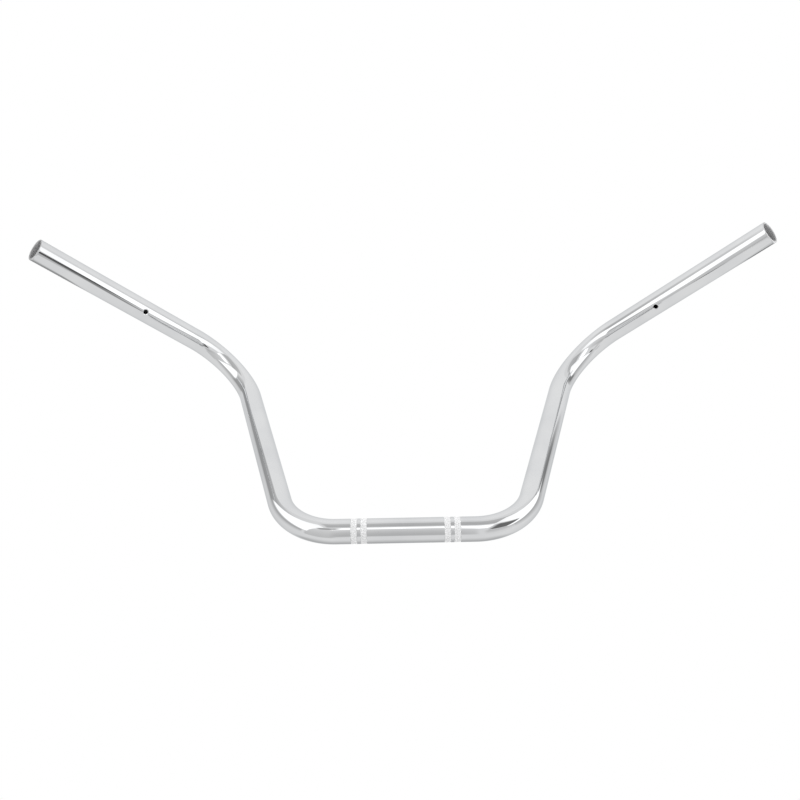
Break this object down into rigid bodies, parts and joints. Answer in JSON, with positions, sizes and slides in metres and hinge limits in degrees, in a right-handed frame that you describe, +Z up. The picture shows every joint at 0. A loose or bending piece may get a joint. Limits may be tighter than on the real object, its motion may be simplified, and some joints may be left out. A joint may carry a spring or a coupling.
{
  "type": "motorcycle handlebar",
  "caption": "Chromed steel tube bent into a high, pulled-back motorcycle handlebar, with knurled clamp bands, switch-pin holes and open ends.",
  "frame": {"origin": "middle of the clamp section, on the tube's axis", "axes": "+X to the rider's right along the clamp section, +Y forward, +Z up; the uprights stand in the XZ plane"},
  "size_m": [0.811, 0.2249, 0.3163],
  "materials": {
    "chrome_tube": "bright chrome plate over polished steel tube"
  },
  "bodies": {
    "root": {"handlebar": "chrome_tube"}
  },
  "joints": []
}
